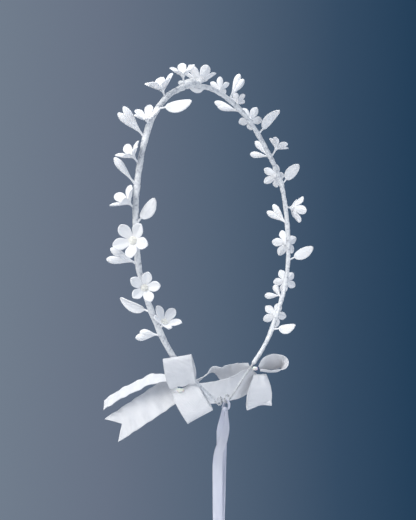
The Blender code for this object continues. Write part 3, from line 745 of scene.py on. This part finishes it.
def bud_shape(start, tip, first_radius, phase):
    """A stem that swells into a furled bud with three lapped petals and a rounded tip."""
    start, tip = np.array(start), np.array(tip)
    length = np.linalg.norm(tip - start)
    bud = BUD_SHARE * np.linalg.norm(tip)
    q = np.concatenate([np.linspace(-1, 0, 6)[:-1], 0.5 - 0.5 * np.cos(np.linspace(0, np.pi, 25))])
    heights = np.where(q < 0, (length - bud) * (1 + q), (length - bud) + bud * q)
    swell = np.sin(np.clip(q / 0.72, 0, 1) * np.pi / 2) ** 1.5
    close = np.clip(1 - (np.clip(q - 0.66, 0, 1) / 0.34) ** 2.0, 0.0, 1) ** 0.62
    radii = STEM_RADIUS + (BUD_RADIUS - STEM_RADIUS) * swell
    radii = np.where(q < 0, first_radius + (STEM_RADIUS - first_radius) * (1 + q), radii * close + 0.00006)
    sides = 30
    angle = 2 * np.pi * np.arange(sides) / sides
    lobe = (3 * (angle[None] / (2 * np.pi) + 0.16 * q[:, None]) + phase) % 1.0
    depth = np.clip(q, 0, 1)[:, None] * 0.17 * np.clip(1.15 - q[:, None], 0, 1)
    rims = 1 - depth * np.exp(-lobe / 0.10) - 0.25 * depth * lobe
    along = (tip - start) / length
    side = unit(np.cross(along, (0.31, 0.93, 0.18)))
    other = np.cross(along, side)
    around = np.cos(angle)[None, :, None] * side + np.sin(angle)[None, :, None] * other
    rings = start + heights[:, None, None] * along + around * (radii[:, None] * rims)[..., None]
    # Painted shade in the grooves where the lapped petals dip in.
    tones = 0.35 - 1.6 * (1 - rims)
    return tube(rings), tones.reshape(-1)


def make_bud_pair(number, hoop, row, material):
    _, share, reach_a, side_a, lean_a, reach_b, side_b, lean_b = row
    at = np.array(hoop.at(share)[0])
    first = hoop.direction(share, side_a, lean_a)
    second = hoop.direction(share, side_b, lean_b)
    foot = 0.5 * hoop.wrap_radius * first
    one, tone_one = bud_shape(foot, first * reach_a / 1000, 1.3 * STEM_RADIUS, 0.2)
    other, tone_other = bud_shape(FORK_REACH * first, second * reach_b / 1000, STEM_RADIUS, 0.6)
    points, faces = join([one, other])
    add_piece(f"bud_pair_{number}_buds", (points + at, faces), material, hoop.body, f"bud_pair_{number}",
              relief=np.concatenate([tone_one, tone_other]))


def make_leaf(number, hoop, row, material):
    _, share, reach, side, lean, spin = row
    reach = reach / 1000
    foot = 0.5 * hoop.wrap_radius
    stem_end = hoop.wrap_radius + LEAF_STEM
    eased = 0.5 - 0.5 * np.cos(np.linspace(0, np.pi, 30))
    stations = np.concatenate([np.linspace(foot, stem_end, 7)[:-1], stem_end + (reach - stem_end) * eased])
    one_side = np.array((0.04, 0.10, 0.30, 0.55, 0.78, 0.90, 0.97, 1.0))
    v = np.concatenate([-one_side[::-1], one_side])
    s, v = np.meshgrid(stations - foot, v, indexing="ij")
    t = np.clip((s + foot - stem_end) / (reach - stem_end), 0, 1)
    half = STEM_RADIUS + (LEAF_HALF_WIDTH - STEM_RADIUS) * np.sin(np.pi * t ** 0.75) ** 0.7 * (t > 0)
    half = half * (1 - 0.75 * np.clip((t - 0.9) / 0.1, 0, 1) ** 2)
    blade = smoothstep(t / 0.15)
    rim = np.exp(-((np.abs(v) - 0.90) / 0.07) ** 2)
    rib = np.exp(-(v / 0.07) ** 2) * (1 - t)
    rounded = np.sqrt(np.clip(1 - v ** 2, 0, 1))
    wall = (1 - blade) * STEM_RADIUS * rounded
    edge = np.clip((1.001 - np.abs(v)) / 0.06, 0.2, 1)
    wall = wall + blade * (0.00020 + 0.00022 * rim + 0.00022 * rib) * edge
    cupped = blade * half * (0.20 * v ** 2 + 0.05 * v)
    cupped = cupped + blade * 0.0012 * np.sin(np.pi * t) - 0.0012 * t ** 2
    route = np.linspace((0, 0, foot), (0, 0, reach), 60)
    turn = np.array(stem_frame(hoop, share, side, lean, spin))
    route = route @ turn.T + np.array(hoop.at(share)[0])
    path = Path(route, turn[:, 0])
    points, faces, place = shell(path, s, v, half, cupped + wall, cupped - wall)
    # Painted light on the raised rim and painted shade in a band just inside it.
    tone = 0.30 + 0.35 * rim - 0.22 * np.exp(-((np.abs(v) - 0.78) / 0.08) ** 2)
    add_piece(f"leaf_{number}_blade", (points, faces), material, hoop.body, f"leaf_{number}",
              place=place, relief=np.concatenate([tone, tone[:, ::-1]], axis=1).reshape(-1))


def make_bow_strip(row, at, body, material):
    name, across, turns, root_mm, flare_mm, ripple_mm, route_mm = row
    turn = np.array(bow_turn())
    aside = np.array(EDGE_DIRECTION) * BOW_RIBBON_WIDTH / 2 if name == EDGE_TAIL else np.zeros(3)
    route = (smooth_route(np.array(route_mm) / 1000, STRIP_STEPS) + aside) @ turn.T + np.array(at)
    even = np.linspace(0, len(turns) - 1, STRIP_STEPS + 1)
    twist = np.pad(np.interp(even, np.arange(len(turns)), np.radians(turns)), TURN_WINDOW // 2, "edge")
    twist = np.convolve(twist, np.full(TURN_WINDOW, 1 / TURN_WINDOW), "valid")
    path = Path(route, turn @ np.array(across), twist)
    rows = round(path.total / RIBBON_ROW)
    one_side = np.array((0.18, 0.36, 0.55, 0.72, 0.86, 0.93, 0.965, 1.0))
    v = np.concatenate([-one_side[::-1], [0.0], one_side])
    s, v = np.meshgrid(np.linspace(0, path.total, rows + 1), v, indexing="ij")
    if name == NOTCHED_TAIL:
        s = s * (1 - TAIL_NOTCH * (1 - np.abs(v)) / path.total)
    is_loop = name.endswith("loop")
    from_root = np.minimum(s, path.total - s) if is_loop else s
    opened = np.sin(np.clip(from_root / (flare_mm / 1000), 0, 1) * np.pi / 2)
    half = (root_mm / 1000 + (BOW_RIBBON_WIDTH - root_mm / 1000) * opened) / 2
    gather = (1 - opened) * GATHER_HEIGHT * np.sin(v * 7.0 + 1.0)
    ripple = ripple_mm / 1000 * np.sin(2 * np.pi * s / RIPPLE_LENGTH + 1.3 * v + len(name)) * opened
    ripple = ripple + 0.4 * ripple_mm / 1000 * np.sin(2 * np.pi * s / FINE_RIPPLE_LENGTH - 2.2 * v)
    edge = np.exp(-((np.abs(v) - 0.965) / 0.025) ** 2)
    wall = RIBBON_WALL / 2 * (1 + 0.5 * edge) * np.clip((1.001 - np.abs(v)) / 0.035, 0.35, 1)
    middle = gather + ripple
    points, faces, place = shell(path, s, v, half, middle + wall, middle - wall)
    tone = np.abs(v)
    obj = add_piece(name + "_ribbon", (points, faces), material, body, name, place=place,
                    relief=np.concatenate([tone, tone[:, ::-1]], axis=1).reshape(-1))
    flat_area = 2 * half.mean() * path.total
    if name == NOTCHED_TAIL:
        flat_area = flat_area - BOW_RIBBON_WIDTH * TAIL_NOTCH / 2


def make_glue(side, at, glue, body, material):
    """A set drop of glue: an uneven, smooth lump."""
    offset, half = glue
    turn = bow_turn()
    middle = np.array(at + turn @ offset)
    bm = bmesh.new()
    bmesh.ops.create_icosphere(bm, subdivisions=4, radius=1.0)
    for vert in bm.verts:
        swell = 1 + 0.20 * noise.noise(vert.co * 1.6 + Vector((3.1, 0.4, len(side))))
        lump = vert.co * swell
        vert.co = turn @ Vector((lump.x * half.x, lump.y * half.y, lump.z * half.z)) * GLUE_SHARE
    points = np.array([vert.co for vert in bm.verts]) + middle
    faces = [tuple(vert.index for vert in face.verts) for face in bm.faces]
    bm.free()
    add_piece(side + "_bow_glue_drop", (points, faces), material, body, side + "_bow_glue")


def make_wrap(hoop, tape_end, stems, material):
    """Tape wound in a spiral: a low step at each turn, crinkles, and lumps where stems are bound in."""
    cut = round(tape_end * HOOP_STEPS)
    path = Path(hoop.fine[: cut + 1], (0, 1, 0))
    rows = round(path.total / TAPE_RING)
    s = np.linspace(0, path.total, rows + 1)
    centre, level, face = path.frames(s)
    angle = 2 * np.pi * np.arange(TAPE_SIDES) / TAPE_SIDES
    total = travelled(hoop.fine)[-1]
    lumps = np.zeros(len(s))
    for share in stems:
        away = (s - share * total) / STEM_LUMP_REACH
        lumps = lumps + STEM_LUMP * np.exp(-away ** 2)
    turn_share = (s[:, None] / TAPE_PITCH - angle[None] / (2 * np.pi)) % 1.0
    step = TAPE_STEP * (1 - turn_share) * smoothstep(turn_share / 0.12)
    oval = 0.05 * hoop.wrap_radius * np.cos(2 * angle[None] - 190 * s[:, None])
    radii = hoop.wrap_radius - TAPE_SEAT + step + oval + np.minimum(lumps, STEM_LUMP_MOST)[:, None]
    rim = np.cos(angle)[None, :, None] * level[:, None] + np.sin(angle)[None, :, None] * face[:, None]
    crinkle = np.zeros_like(radii)
    for i in range(len(s)):
        for j in range(TAPE_SIDES):
            where = Vector(centre[i] + rim[i, j] * hoop.wrap_radius)
            crinkle[i, j] = 0.55 * noise.noise(where * 900) + 0.45 * noise.noise(where * 380)
    radii = radii + TAPE_CRINKLE * crinkle
    ends = smoothstep(np.minimum(s, path.total - s) / TAPE_END_ROUNDING)
    radii = radii * (0.72 + 0.28 * ends)[:, None]
    points, faces = tube(centre[:, None] + rim * radii[..., None])
    # Painted light and shade: lighter on the crinkles' ridges, darker in their hollows and in the groove at
    # each lap's edge.
    tone = 0.42 + 0.9 * crinkle - 0.30 * np.exp(-turn_share / 0.10)
    add_piece(hoop.name + "_tape_spiral", (points, faces), material, hoop.body, hoop.name + "_tape_wrap",
              relief=np.clip(tone, 0, 1).reshape(-1))


def make_bare_wire(hoop, tape_end, material):
    """The bare end: two strands twisted together, out of the tape and round the eyelet."""
    cut = round(tape_end * HOOP_STEPS) - 4
    eye = np.array([tuple(p) for p in hoop.eyelet()[1]])
    route = np.concatenate([hoop.fine[cut:], eye])
    route = resample(route, round(travelled(route)[-1] / STRAND_STEP))
    along = unit(np.gradient(route, axis=0))
    side = unit(np.cross(along, (0.0, 1.0, 0.0)))
    other = np.cross(along, side)
    phase = 2 * np.pi * travelled(route) / STRAND_PITCH
    strands = []
    for start in (0.0, np.pi):
        offset = np.cos(phase + start)[:, None] * side + np.sin(phase + start)[:, None] * other
        strand = route + 0.92 * STRAND_RADIUS * offset
        strands.append(tube(round_rings(strand, np.full(len(strand), STRAND_RADIUS), 8)))
    add_piece(hoop.name + "_bare_strands", join(strands), material, hoop.body, hoop.name + "_core_wire")


def make_binding(left, right, material):
    """Tape wound round both wires at the lap, as an oval band with overlapping turns."""
    middle = np.array((LAP_SHARE * RING_WIDTH, 0.0, RIGHT_WRAP_RADIUS))
    x = np.linspace(-BINDING_HALF, BINDING_HALF, 40)
    angle = 2 * np.pi * np.arange(48) / 48
    spread = (left.wrap_radius + right.wrap_radius + LAP_CLEARANCE) / 2
    half_y = spread + left.wrap_radius + BINDING_CLEARANCE + BINDING_COVER
    half_z = left.wrap_radius + BINDING_CLEARANCE + BINDING_COVER
    turn_share = (x[:, None] / BINDING_PITCH - angle[None] / (2 * np.pi)) % 1.0
    swell = BINDING_STEP * (1 - turn_share) * smoothstep(turn_share / 0.12)
    ends = smoothstep((BINDING_HALF - np.abs(x)) / 0.0010)
    shrink = (0.86 + 0.14 * ends)[:, None]
    rings = np.zeros((40, 48, 3))
    rings[..., 0] = x[:, None]
    rings[..., 1] = np.sign(np.cos(angle)) * np.abs(np.cos(angle)) ** 0.8 * (half_y * shrink + swell)
    rings[..., 2] = np.sin(angle) * (half_z * shrink + swell)
    crinkle = np.array([[noise.noise(Vector(p) * 800) for p in ring] for ring in rings])
    outward = rings * np.array((0, 1, 1))
    rings = rings + unit(outward) * (0.00012 * crinkle)[..., None]
    points, faces = tube(rings + middle)
    # Painted light and shade: lighter on the crinkles' ridges, darker in their hollows and in the groove at
    # each turn's edge.
    tone = 0.45 + 0.8 * crinkle - 0.30 * np.exp(-turn_share / 0.10)
    add_piece("lap_binding_tape", (points, faces), material, right.body, "lap_binding",
              relief=np.clip(tone, 0, 1).reshape(-1))


def make_tail(node, rows, top, material):
    """One satin tail: limp, flat and a little twisted."""
    turn = np.array(bow_turn())
    route = np.array([(*(turn @ np.array((x, y, 0)) / 1000), math.radians(twist)) for x, y, _, twist in rows])
    route[:, 2] = [-down * TIE_LENGTH for _, _, down, _ in rows]
    route[0, 2] = TAIL_TUCK
    fine = smooth_route(route, TAIL_STEPS)
    centres = fine[:, :3] + np.array(top)
    path = Path(centres, turn @ np.array((1, 0, 0)), fine[:, 3])
    v = np.array((-1.0, -0.93, -0.80, -0.5, -0.2, 0.0, 0.2, 0.5, 0.80, 0.93, 1.0))
    s, v = np.meshgrid(np.linspace(0, path.total, TAIL_ROWS), v, indexing="ij")
    gathered = 0.36 + 0.64 * smoothstep(s / TAIL_GATHER)
    half = TIE_WIDTH / 2 * gathered
    bowed = 0.00035 * (1 - v ** 2) * np.sin(2 * np.pi * s / 0.061 + len(node))
    bowed = bowed + 0.0007 * v ** 2 * (1 - smoothstep(s / 0.02))
    wall = SATIN_WALL / 2 * np.clip((1.001 - np.abs(v)) / 0.05, 0.3, 1)
    points, faces, place = shell(path, s, v, half, bowed + wall, bowed - wall)
    tone = np.abs(v)
    obj = add_piece(node + "_satin", (points, faces), material, "tie", node, place=place,
                    relief=np.concatenate([tone, tone[:, ::-1]], axis=1).reshape(-1))


def make_knot(axis, material):
    """The tie's knot: a gathered loop of satin round the eyelet, drawn through itself in a pleated band."""
    knot_at = axis + KNOT_OFFSET
    low = knot_at - axis
    loop = [(low.x * 0.6, -0.0016, low.z * 1.0), (low.x * 0.30, -0.0019, -0.0024), (0.0, -0.0015, -0.0002),
            (0.0, 0.0, 0.0014), (0.0, 0.0015, -0.0002), (low.x * 0.30, 0.0019, -0.0024),
            (low.x * 0.6, 0.0016, low.z * 1.0)]
    route = smooth_route(np.array(loop), 80) + np.array(axis)
    path = Path(route, (1, 0, 0.15))
    v = np.linspace(-1, 1, 15)
    s, v = np.meshgrid(np.linspace(0, path.total, 70), v, indexing="ij")
    half = 0.0010 + 0.0006 * np.abs(s / path.total - 0.5)
    pleat = 0.00018 * np.sin(v * 9.0)
    loop_shape = shell(path, s, v, half, pleat + 0.00016, pleat - 0.00016)
    rows, around = 30, 40
    q = np.linspace(0.02, 0.98, rows)
    angle = 2 * np.pi * np.arange(around) / around
    rings = np.zeros((rows, around, 3))
    rings[..., 0] = (-KNOT_HALF.x * 0.66 * np.cos(np.pi * q))[:, None]
    pleats = 1 + 0.07 * np.sin(26 * q)[:, None] + 0.05 * np.cos(5 * angle)[None]
    swell = np.sin(np.pi * q)[:, None] ** 0.55 * pleats
    rings[..., 1] = KNOT_HALF.y * 0.80 * swell * np.cos(angle)
    rings[..., 2] = KNOT_HALF.z * 0.85 * swell * np.sin(angle)
    knot = tube(rings + np.array(knot_at))
    points, faces = join([loop_shape[:2], knot])
    add_piece("tie_knot_satin", (points, faces), material, "tie", "tie_knot",
              place=np.concatenate([loop_shape[2], np.zeros((rows * around, 2))]),
              relief=np.full(len(points), 0.5))


# Stage.

def make_camera():
    data = bpy.data.cameras.new("camera")
    data.sensor_fit = "VERTICAL"
    data.sensor_height = SENSOR_HEIGHT
    data.lens = LENS
    data.clip_start = 0.01
    camera = bpy.data.objects.new("camera", data)
    camera.location = CAMERA_AT
    camera.rotation_euler = (CAMERA_AIM - CAMERA_AT).to_track_quat("-Z", "Y").to_euler()
    bpy.context.scene.collection.objects.link(camera)
    bpy.context.scene.camera = camera


def make_light(name, right, towards, up, size, power, colour):
    """A soft square light, placed from the ring's middle in the camera's directions."""
    aim = CAMERA_AIM
    back = (CAMERA_AT - aim).normalized()
    side = Vector((0, 0, 1)).cross(back)
    data = bpy.data.lights.new(name, "AREA")
    data.size = size
    data.energy = power
    data.color = colour
    light = bpy.data.objects.new(name, data)
    light.location = aim + right * side + towards * back + up * Vector((0, 0, 1))
    light.rotation_euler = (aim - light.location).to_track_quat("-Z", "Y").to_euler()
    bpy.context.scene.collection.objects.link(light)


def make_world():
    """A plain blue-grey studio backdrop, paler on the camera's left."""
    world = bpy.data.worlds.new("studio")
    world.use_nodes = True
    tree = world.node_tree
    coords = tree.nodes.new("ShaderNodeTexCoord")
    across = tree.nodes.new("ShaderNodeVectorMath")
    across.operation = "DOT_PRODUCT"
    back = (CAMERA_AT - CAMERA_AIM).normalized()
    across.inputs[1].default_value = Vector((0, 0, 1)).cross(back)
    span = tree.nodes.new("ShaderNodeMapRange")
    for socket, number in zip(("From Min", "From Max", "To Min", "To Max"), (-0.19, 0.19, 0.0, 1.0)):
        span.inputs[socket].default_value = number
    ramp = tree.nodes.new("ShaderNodeValToRGB")
    stops = ((0.0, (0.168, 0.209, 0.270)), (0.27, (0.138, 0.171, 0.235)), (0.52, (0.090, 0.130, 0.192)),
             (0.80, (0.036, 0.073, 0.130)), (1.0, (0.015, 0.047, 0.097)))
    elements = ramp.color_ramp.elements
    while len(elements) < len(stops):
        elements.new(0.5)
    for element, (position, colour) in zip(elements, stops):
        element.position = position
        element.color = (*colour, 1)
    tree.links.new(coords.outputs["Generated"], across.inputs[0])
    tree.links.new(across.outputs["Value"], span.inputs["Value"])
    tree.links.new(span.outputs["Result"], ramp.inputs["Fac"])
    tree.links.new(ramp.outputs["Color"], tree.nodes["Background"].inputs["Color"])
    bpy.context.scene.world = world


def make_floor(material):
    """A plain round floor under the hanging tails."""
    low = cad_box[0][2] - 0.03
    bm = bmesh.new()
    bmesh.ops.create_circle(bm, cap_ends=True, radius=0.8, segments=96)
    bmesh.ops.translate(bm, vec=(0, 0, low), verts=bm.verts)
    mesh = bpy.data.meshes.new("floor")
    bm.to_mesh(mesh)
    bm.free()
    mesh.materials.append(material)
    floor = bpy.data.objects.new("floor", mesh)
    bpy.context.scene.collection.objects.link(floor)


def main():
    bpy.context.scene.view_settings.view_transform = "Standard"
    make_camera()
    make_world()
    make_light("key", -0.75, 0.75, 0.75, 0.9, 17.0, (1.0, 0.985, 0.96))
    make_light("fill", 0.95, 0.70, 0.10, 0.9, 6.2, (0.90, 0.94, 1.0))
    make_light("top", 0.10, -0.25, 1.10, 0.8, 9.5, (0.96, 0.98, 1.0))
    make_floor(floor_material())

    left = Hoop("left", LEFT_OUTLINE, LEFT_WRAP_RADIUS, -1)
    right = Hoop("right", RIGHT_OUTLINE, RIGHT_WRAP_RADIUS, 1)
    hoops = {"left": left, "right": right}
    petal, tape, wire = petal_material(), tape_material(), wire_material()
    grosgrain, satin, glue = grosgrain_material(), satin_material(), glue_material()

    tie_at = right.eyelet()[0] - Vector((0, 0, EYELET_RADIUS))
    tail_top = tie_at + KNOT_OFFSET - Vector((0, 0, KNOT_HALF.z + 0.0003))
    make_tail("tie_tail_front", FRONT_TAIL, tail_top, satin)
    make_tail("tie_tail_back", BACK_TAIL, tail_top, satin)
    make_knot(tie_at, satin)
    for hoop, share, offset, strips, drop in (
            (left, LEFT_BOW_SHARE, LEFT_BOW_OFFSET, LEFT_BOW_STRIPS, LEFT_GLUE),
            (right, RIGHT_BOW_SHARE, RIGHT_BOW_OFFSET, RIGHT_BOW_STRIPS, RIGHT_GLUE)):
        bow_at = hoop.at(share)[0] + offset
        for row in strips:
            make_bow_strip(row, bow_at, hoop.body, grosgrain)
        make_glue(hoop.name, bow_at, drop, hoop.body, glue)
    for number, row in enumerate(FLOWERS, 1):
        make_flower(number, hoops[row[0]], row, petal)
    for number, row in enumerate(BUD_PAIRS, 1):
        make_bud_pair(number, hoops[row[0]], row, petal)
    for number, row in enumerate(LEAVES, 1):
        make_leaf(number, hoops[row[0]], row, petal)
    for hoop, tape_end in ((left, LEFT_TAPE_END), (right, RIGHT_TAPE_END)):
        stems = [row[1] for row in FLOWERS + BUD_PAIRS + LEAVES if row[0] == hoop.name]
        make_wrap(hoop, tape_end, stems, tape)
        make_bare_wire(hoop, tape_end, wire)
    make_binding(left, right, tape)


main()
